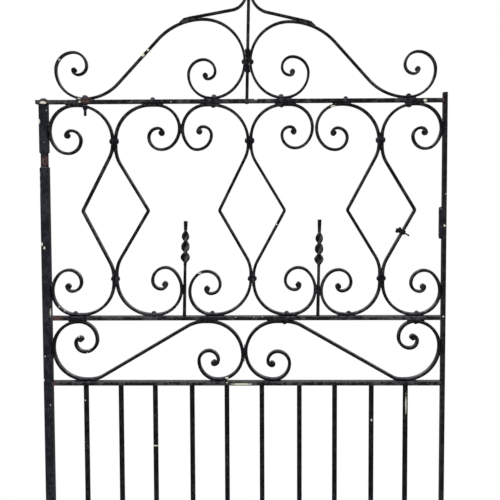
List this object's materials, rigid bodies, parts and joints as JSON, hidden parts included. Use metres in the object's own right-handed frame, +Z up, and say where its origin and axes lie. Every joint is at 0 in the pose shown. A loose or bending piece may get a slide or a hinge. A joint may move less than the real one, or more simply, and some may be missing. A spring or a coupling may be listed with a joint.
{
  "type": "wrought iron pedestrian gate",
  "caption": "Narrow wrought iron gate leaf: lyre scrolls and twisted finials over a band of S-scrolls and plain bars, with a scrolled crest rising to an ogee peak.",
  "frame": {"origin": "centre of the flat lower end of the pivot pin under the heel stile", "axes": "+X across the leaf from the heel stile to the latch stile, +Z up along the heel stile, the face seen in the picture towards -Y"},
  "size_m": [0.9226, 0.025, 1.9526],
  "materials": {
    "painted_iron": "thick black gloss paint in many coats, chipped to old white paint and rust",
    "painted_wire": "black gloss paint over wound wire"
  },
  "bodies": {
    "root": {"heel_stile": "painted_iron", "latch_stile": "painted_iron", "top_rail": "painted_iron", "middle_rail": "painted_iron", "lower_rail": "painted_iron", "bottom_rail": "painted_iron", "bar_01": "painted_iron", "bar_02": "painted_iron", "bar_03": "painted_iron", "bar_04": "painted_iron", "bar_05": "painted_iron", "bar_06": "painted_iron", "bar_07": "painted_iron", "bar_08": "painted_iron", "bar_09": "painted_iron", "bar_10": "painted_iron", "lyre_scroll_1_left": "painted_iron", "lyre_scroll_1_right": "painted_iron", "lyre_scroll_2_left": "painted_iron", "lyre_scroll_2_right": "painted_iron", "lyre_scroll_3_left": "painted_iron", "lyre_scroll_3_right": "painted_iron", "crest_scroll_left": "painted_iron", "crest_scroll_right": "painted_iron", "crest_ogee_left": "painted_iron", "crest_ogee_right": "painted_iron", "crest_spindle": "painted_iron", "twisted_finial_left": "painted_iron", "twisted_finial_right": "painted_iron", "band_scroll_left": "painted_iron", "band_scroll_right": "painted_iron", "striking_plate": "painted_iron", "wire_tie": "painted_wire"}
  },
  "joints": []
}
